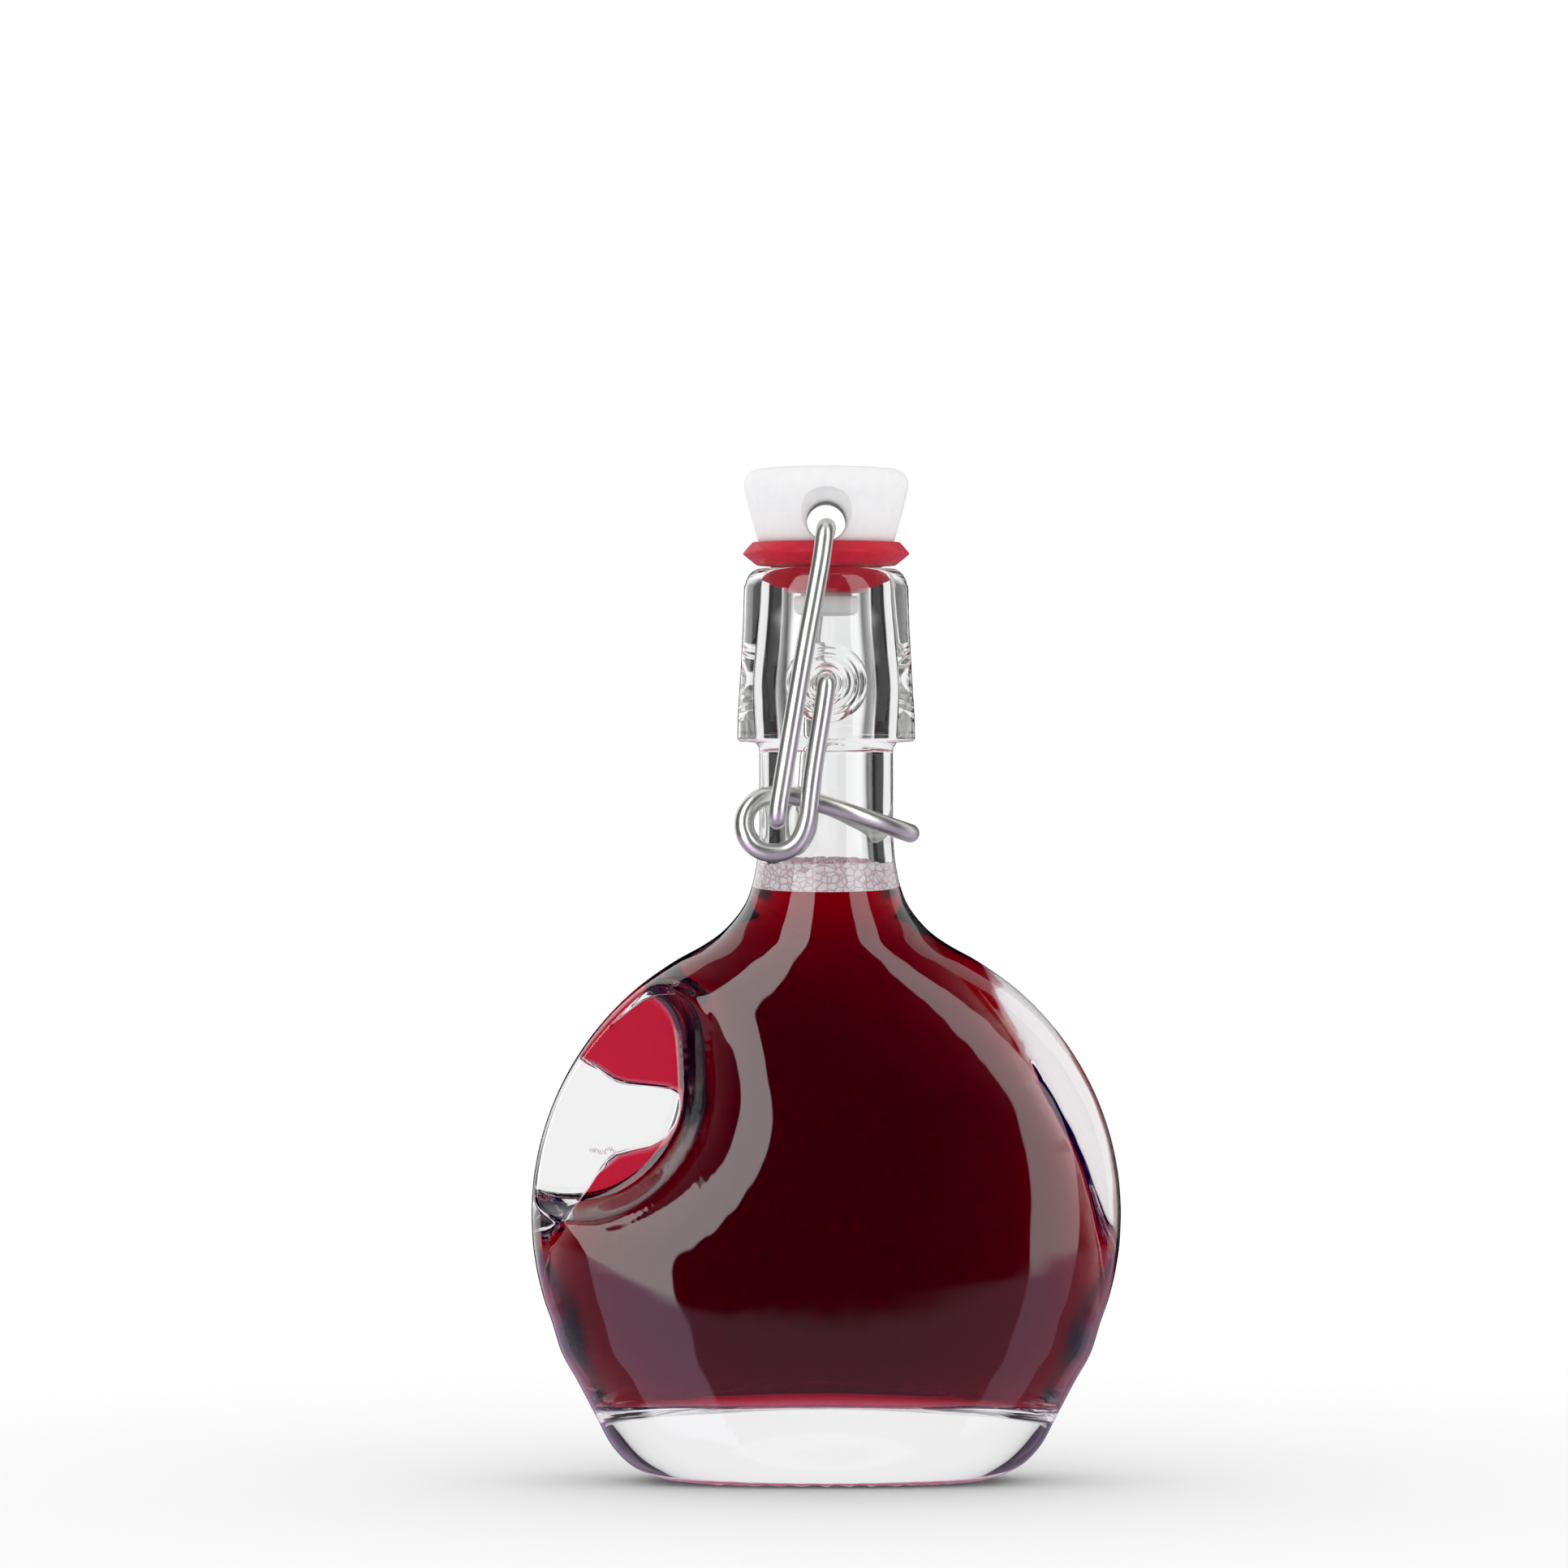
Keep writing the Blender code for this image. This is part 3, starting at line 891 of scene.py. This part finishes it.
grain = noise_group("grain", 6.0, (1.0, 1.0, 1.0))
ripple = noise_group("ripple", 1.0, (1.0, 1.0, 0.35))
drawn = noise_group("drawn_marks", 4.0, (1.0, 1.0, 0.06))


def finish(name, colour, roughness, **sockets):
    """A new material, with its shader's other sockets named by keyword."""
    made = bpy.data.materials.new(name)
    made.use_nodes = True
    shader = made.node_tree.nodes["Principled BSDF"]
    shader.inputs["Base Color"].default_value = (*colour, 1.0)
    shader.inputs["Roughness"].default_value = roughness
    for label, value in sockets.items():
        shader.inputs[label.replace("_", " ")].default_value = value
    return made, made.node_tree, shader


def value_from(tree, group, size, low, high):
    node = tree.nodes.new("ShaderNodeGroup")
    node.node_tree = group
    node.inputs["Size per metre"].default_value = size
    node.inputs["Low"].default_value = low
    node.inputs["High"].default_value = high
    return node.outputs["Value"]


def bump_from(tree, shader, height, strength, distance):
    bump = tree.nodes.new("ShaderNodeBump")
    bump.inputs["Strength"].default_value = strength
    bump.inputs["Distance"].default_value = distance * MM
    tree.links.new(height, bump.inputs["Height"])
    tree.links.new(bump.outputs["Normal"], shader.inputs["Normal"])


def colour_between(tree, shader, value, low, high):
    mix = tree.nodes.new("ShaderNodeMix")
    mix.data_type = "RGBA"
    mix.inputs["A"].default_value = (*low, 1.0)
    mix.inputs["B"].default_value = (*high, 1.0)
    tree.links.new(value, mix.inputs["Factor"])
    tree.links.new(mix.outputs["Result"], shader.inputs["Base Color"])


print("groups", grain.name, ripple.name, drawn.name)

# %% [markdown]
# Moulded glass is smooth but never flat: slow waves in both walls make the reflections wander.


# %% Clear glass
GLASS_COLOUR, NO_SHINE = (0.96, 0.965, 0.963), (0.0, 0.0, 0.0, 1.0)


def clear_glass(name, **more):
    made, tree, shader = finish(name, GLASS_COLOUR, 0.0, Transmission_Weight=1.0, IOR=1.52, **more)
    bump_from(tree, shader, value_from(tree, ripple, 260.0, 0.0, 1.0), 1.0, 0.02)
    return made


glass_finish = clear_glass("clear_glass")
wet_finish = clear_glass("clear_glass_wet", Specular_Tint=NO_SHINE)
print("finish", glass_finish.name, wet_finish.name)

# %% [markdown]
# The syrup takes its colour from depth: thin, it is bright red, and through the whole flask almost
# black. A volume that absorbs green and blue does exactly that. A trace of violet glow stands in for
# the light that syrup scatters.


# %% Red syrup
def red_syrup():
    clear = {"Transmission_Weight": 1.0, "IOR": 1.36, "Specular_Tint": NO_SHINE}
    made, tree, shader = finish("red_syrup", (1.0, 1.0, 1.0), 0.0, **clear)
    shader.inputs["Emission Color"].default_value = (0.05, 0.0, 1.0, 1.0)
    shader.inputs["Emission Strength"].default_value = 0.003
    depth = tree.nodes.new("ShaderNodeVolumeAbsorption")
    depth.inputs["Color"].default_value = (0.867, 0.0, 0.24, 1.0)
    depth.inputs["Density"].default_value = 1020.0
    tree.links.new(depth.outputs["Volume"], tree.nodes["Material Output"].inputs["Volume"])
    return made


syrup_finish = red_syrup()
print("finish", syrup_finish.name)

# %% [markdown]
# Foam is bubbles packed tight, so their films meet in flat-sided cells: pale in the middle, pinker
# along each film. The loose bubbles on top are thin clear skins that hardly bend the light.


# %% Foam finish
def pink_foam():
    """Cells with pale middles and darker films between them, under a faint painted glow."""
    made, tree, shader = finish("pink_foam", (0.9, 0.7, 0.78), 0.3, Subsurface_Weight=0.3)
    # Painted light: a faint pale pink glow stands in for the light that the foam scatters.
    shader.inputs["Emission Color"].default_value = (1.0, 0.86, 0.92, 1.0)
    shader.inputs["Emission Strength"].default_value = 0.14
    shader.inputs["Subsurface Radius"].default_value = (1.0, 0.6, 0.7)
    shader.inputs["Subsurface Scale"].default_value = 0.6 * MM
    place = tree.nodes.new("ShaderNodeTexCoord")
    cells = tree.nodes.new("ShaderNodeTexVoronoi")
    cells.feature = "DISTANCE_TO_EDGE"
    cells.inputs["Scale"].default_value = 1400.0
    films = tree.nodes.new("ShaderNodeMapRange")
    films.inputs["From Min"].default_value = 0.01
    films.inputs["From Max"].default_value = 0.11
    films.inputs["To Min"].default_value = 1.0
    films.inputs["To Max"].default_value = 0.0
    tree.links.new(place.outputs["Object"], cells.inputs["Vector"])
    tree.links.new(cells.outputs["Distance"], films.inputs["Value"])
    colour_between(tree, shader, films.outputs["Result"], (1.0, 0.95, 0.97), (0.72, 0.42, 0.52))
    bump_from(tree, shader, films.outputs["Result"], 0.8, -0.12)
    return made


foam_finish = pink_foam()
bubble_finish, bubble_tree, bubble_shader = finish(
    "bubble_film", (1.0, 0.9, 0.93), 0.02, Transmission_Weight=1.0, IOR=1.18
)
bump_from(bubble_tree, bubble_shader, value_from(bubble_tree, ripple, 900.0, 0.0, 1.0), 0.3, 0.02)
print("finish", foam_finish.name, bubble_finish.name)

# %% [markdown]
# The stopper is satin plastic: nearly white, with a faint moulded speckle that dulls its shine. The
# gasket is soft red rubber with the same speckle, coarser.


# %% White plastic and red rubber
def white_plastic():
    soft = {"Subsurface_Weight": 0.45, "Specular_IOR_Level": 0.3}
    made, tree, shader = finish("white_plastic", (0.82, 0.82, 0.83), 0.5, **soft)
    shader.inputs["Subsurface Radius"].default_value = (1.0, 1.0, 1.0)
    shader.inputs["Subsurface Scale"].default_value = 2.0 * MM
    speckle = value_from(tree, grain, 900.0, 0.0, 1.0)
    colour_between(tree, shader, speckle, (0.86, 0.86, 0.872), (0.9, 0.9, 0.91))
    tree.links.new(value_from(tree, grain, 2500.0, 0.42, 0.56), shader.inputs["Roughness"])
    bump_from(tree, shader, value_from(tree, grain, 3500.0, 0.0, 1.0), 0.25, 0.02)
    return made


def red_rubber():
    soft = {"Subsurface_Weight": 0.1, "Specular_IOR_Level": 0.3}
    made, tree, shader = finish("red_rubber", (0.6, 0.01, 0.03), 0.5, **soft)
    shader.inputs["Subsurface Radius"].default_value = (1.0, 0.1, 0.1)
    shader.inputs["Subsurface Scale"].default_value = 0.8 * MM
    speckle = value_from(tree, grain, 700.0, 0.0, 1.0)
    colour_between(tree, shader, speckle, (0.52, 0.004, 0.022), (0.62, 0.008, 0.034))
    tree.links.new(value_from(tree, grain, 1800.0, 0.36, 0.58), shader.inputs["Roughness"])
    bump_from(tree, shader, value_from(tree, grain, 2600.0, 0.0, 1.0), 0.35, 0.03)
    return made


plastic_finish, rubber_finish = white_plastic(), red_rubber()
print("finish", plastic_finish.name, rubber_finish.name)

# %% [markdown]
# Drawn wire is bright along its length, with faint lines from the die and a slightly uneven shine.


# %% Polished steel
def polished_steel():
    made, tree, shader = finish("polished_steel", (0.66, 0.65, 0.64), 0.27, Metallic=0.9)
    tree.links.new(value_from(tree, ripple, 500.0, 0.27, 0.33), shader.inputs["Roughness"])
    shade = value_from(tree, ripple, 300.0, 0.0, 1.0)
    colour_between(tree, shader, shade, (0.62, 0.632, 0.606), (0.68, 0.692, 0.666))
    bump_from(tree, shader, value_from(tree, drawn, 2200.0, 0.0, 1.0), 0.06, 0.004)
    return made


steel_finish = polished_steel()
print("finish", steel_finish.name)

# %% [markdown]
# Below the fill line the wall of the cavity is wet. Liquid bends light nearly as glass does, so that
# wall hardly shines, and it gets the glass finish without the shine.


# %% Give each piece its finish and its body
def wear(piece, made, body, node):
    piece.data.materials.clear()
    piece.data.materials.append(made)
    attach(piece, body)
    if node:
        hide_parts(node)


wear(glass, glass_finish, "bottle", "bottle_glass")
glass.data.materials.append(wet_finish)
for face in glass.data.polygons:
    if cavity_points.issuperset(face.vertices) and face.center.z < FILL * MM:
        face.material_index = 1
wear(liquid, syrup_finish, "bottle", "liquid_fill")
wear(foam, foam_finish, "bottle", "foam_layer")
wear(bubbles, bubble_finish, "bottle", None)
wear(stopper, plastic_finish, "stopper", "stopper_head")
wear(gasket, rubber_finish, "stopper", "gasket")
wear(lever, steel_finish, "lever", "lever_wire")
wear(bail, steel_finish, "bail", "bail_wire")
print("pieces", [piece.name for piece in (glass, liquid, foam, bubbles, stopper, gasket, lever, bail)])

# %% [markdown]
# # Stage
# A pale floor and a bright, plain studio. The surroundings are painted by direction: white all round
# for light and shade, with tall soft boxes at the front corners for the shine, and darker gaps beside
# the background so that the edges of clear glass are drawn in grey.


# %% Floor
FLOOR_RADIUS, FLOOR_DROP = 0.6, 0.00002
FADE_FROM, FADE_TO = 0.06, 0.22


def pale_floor():
    """A disc under the foot that fades to nothing, so that it has no visible edge."""
    nothing_selected()
    under = {"fill_type": "NGON", "location": (0, 0, -FLOOR_DROP)}
    bpy.ops.mesh.primitive_circle_add(vertices=96, radius=FLOOR_RADIUS, **under)
    floor = bpy.context.object
    floor.name = "pale_floor"
    made, tree, shader = finish("pale_floor", (0.97, 0.97, 0.97), 0.8, Specular_IOR_Level=0.0)
    clear = tree.nodes.new("ShaderNodeBsdfTransparent")
    blend = tree.nodes.new("ShaderNodeMixShader")
    place = tree.nodes.new("ShaderNodeTexCoord")
    far = tree.nodes.new("ShaderNodeVectorMath")
    far.operation = "LENGTH"
    fade = tree.nodes.new("ShaderNodeMapRange")
    fade.interpolation_type = "SMOOTHSTEP"
    fade.inputs["From Min"].default_value = FADE_FROM
    fade.inputs["From Max"].default_value = FADE_TO
    tree.links.new(place.outputs["Object"], far.inputs[0])
    tree.links.new(far.outputs["Value"], fade.inputs["Value"])
    tree.links.new(fade.outputs["Result"], blend.inputs["Fac"])
    tree.links.new(shader.outputs["BSDF"], blend.inputs[1])
    tree.links.new(clear.outputs["BSDF"], blend.inputs[2])
    tree.links.new(blend.outputs["Shader"], tree.nodes["Material Output"].inputs["Surface"])
    floor.data.materials.append(made)
    floor.visible_glossy = False
    return floor


print("stage", pale_floor().name)

# %% [markdown]
# The world is worked out from the direction that a ray leaves in: how far it turns from straight
# ahead, and how far it climbs above level. A band is one soft box or one dark gap in those angles.

# %% Studio world
LEFT_BOX, LEFT_LIGHT = (16.5, 55.0), 4.15  # degrees of turn, strength
RIGHT_BOX, RIGHT_LIGHT = (34.0, 65.0), 2.8
BOX_FOOT, BOX_TOP = -8.0, 60.0  # degrees of climb
BEHIND, REFLECTED_LOW = 0.3, 0.3  # shares of the boxes seen behind the flask and below level
TABLE_LIGHT, CEILING_LIGHT = 0.45, 1.0
BACKDROP, GAP_DEPTH, CAMERA_WHITE = 0.95, 0.92, 1.02
TABLE_TINT = (0.9, 0.7, 1.0, 1.0)
world = bpy.data.worlds.new("studio")
bpy.context.scene.world = world
world.use_nodes = True
tree = world.node_tree
tree.nodes.clear()


def math_node(operation, a, b=None, c=None):
    node = tree.nodes.new("ShaderNodeMath")
    node.operation = operation
    for socket, value in zip(node.inputs, (a, b, c)):
        if isinstance(value, (int, float)):
            socket.default_value = value
        elif value is not None:
            tree.links.new(value, socket)
    return node.outputs[0]


def band(value, low, high, soft):
    """1 between low and high, falling to 0 over the soft edge on either side."""
    edges = []
    for edge, before, after in ((low, 0.0, 1.0), (high, 1.0, 0.0)):
        step = tree.nodes.new("ShaderNodeMapRange")
        step.interpolation_type = "SMOOTHSTEP"
        step.inputs["From Min"].default_value = edge - soft
        step.inputs["From Max"].default_value = edge + soft
        step.inputs["To Min"].default_value = before
        step.inputs["To Max"].default_value = after
        tree.links.new(value, step.inputs["Value"])
        edges.append(step.outputs["Result"])
    return math_node("MULTIPLY", *edges)


def degrees_from(axis, sideways):
    """The angle between an axis and a direction, given the direction's share along and across."""
    radians = math_node("ARCTAN2", math_node("ABSOLUTE", sideways), axis)
    return math_node("MULTIPLY", radians, math.degrees(1.0))


def choose(share, off, on):
    difference = math_node("SUBTRACT", on, off)
    return math_node("MULTIPLY_ADD", difference, share, off)


direction = tree.nodes.new("ShaderNodeTexCoord")
split = tree.nodes.new("ShaderNodeSeparateXYZ")
tree.links.new(direction.outputs["Generated"], split.inputs["Vector"])
east, north, up = split.outputs
squares = [math_node("MULTIPLY", side, side) for side in (east, north)]
level = math_node("SQRT", math_node("ADD", *squares))
climb = math_node("MULTIPLY", math_node("ARCTAN2", up, level), math.degrees(1.0))
turn = degrees_from(math_node("ABSOLUTE", north), east)

# What shiny surfaces reflect: a box on either side, the table below and a light above
left_box = math_node("MULTIPLY", band(turn, *LEFT_BOX, 0.7), LEFT_LIGHT)
right_box = math_node("MULTIPLY", band(turn, *RIGHT_BOX, 0.7), RIGHT_LIGHT)
boxes = choose(math_node("LESS_THAN", east, 0.0), right_box, left_box)
boxes = math_node("MULTIPLY", boxes, choose(math_node("LESS_THAN", north, 0.0), BEHIND, 1.0))
upper = math_node("MULTIPLY", boxes, band(climb, BOX_FOOT, BOX_TOP, 2.0))
lower = math_node("MULTIPLY", boxes, band(climb, -40.0, BOX_FOOT, 2.0))
table = band(climb, -95.0, BOX_FOOT, 1.5)
ceiling = band(climb, 66.0, 95.0, 4.0)
shine = math_node("MULTIPLY_ADD", lower, REFLECTED_LOW, upper)
shine = math_node("MULTIPLY_ADD", table, TABLE_LIGHT, shine)
shine = math_node("MULTIPLY_ADD", ceiling, CEILING_LIGHT, shine)

# What is seen through the glass: a white backdrop with a dark gap on either side of it
gap = math_node("MULTIPLY", band(turn, 23.0, 72.0, 4.0), band(climb, -16.0, 9.0, 4.0))
seen_through = math_node("SUBTRACT", BACKDROP, math_node("MULTIPLY", gap, GAP_DEPTH))

path = tree.nodes.new("ShaderNodeLightPath")
light = choose(path.outputs["Is Glossy Ray"], 1.0, shine)
light = choose(path.outputs["Is Transmission Ray"], light, seen_through)
after_matt = math_node("GREATER_THAN", path.outputs["Diffuse Depth"], 0.5)
light = choose(after_matt, light, 1.0)
light = choose(path.outputs["Is Camera Ray"], light, CAMERA_WHITE)

# The table is tinted only in the first reflection, on the outside of a piece
from_outside = math_node("LESS_THAN", path.outputs["Transmission Depth"], 0.5)
from_outside = math_node("MULTIPLY", from_outside, path.outputs["Is Glossy Ray"])
tint = tree.nodes.new("ShaderNodeMix")
tint.data_type = "RGBA"
tint.inputs["A"].default_value = (1.0, 1.0, 1.0, 1.0)
tint.inputs["B"].default_value = TABLE_TINT
background = tree.nodes.new("ShaderNodeBackground")
output = tree.nodes.new("ShaderNodeOutputWorld")
tree.links.new(math_node("MULTIPLY", table, from_outside), tint.inputs["Factor"])
tree.links.new(tint.outputs["Result"], background.inputs["Color"])
tree.links.new(light, background.inputs["Strength"])
tree.links.new(background.outputs["Background"], output.inputs["Surface"])
world.cycles.sampling_method = "MANUAL"
world.cycles.sample_map_resolution = 512
bpy.context.scene.view_settings.view_transform = "Standard"
print("studio ready")

# %% [markdown]
# The camera stands level with the neck, far off with a long lens, so the flask is seen almost
# without perspective. Light needs many bounces to get through the walls of glass and the liquid.

# %% Camera
CAMERA_X, CAMERA_Z = -0.00454, 0.075
DISTANCE, VIEW_WIDTH, SENSOR = 0.83, 0.16886, 36.0
lens = bpy.data.cameras.new("camera")
camera = bpy.data.objects.new("camera", lens)
bpy.context.scene.collection.objects.link(camera)
camera.location = (CAMERA_X, -DISTANCE, CAMERA_Z)
camera.rotation_euler = (math.radians(90), 0, 0)
lens.sensor_width = SENSOR
lens.lens = SENSOR * DISTANCE / VIEW_WIDTH
lens.clip_start = 0.01
bpy.context.scene.camera = camera
bpy.context.scene.cycles.transmission_bounces = 24
bpy.context.scene.cycles.transparent_max_bounces = 24
bpy.context.scene.cycles.max_bounces = 32
bpy.context.scene.cycles.glossy_bounces = 12
print("lens", round(lens.lens), "mm")
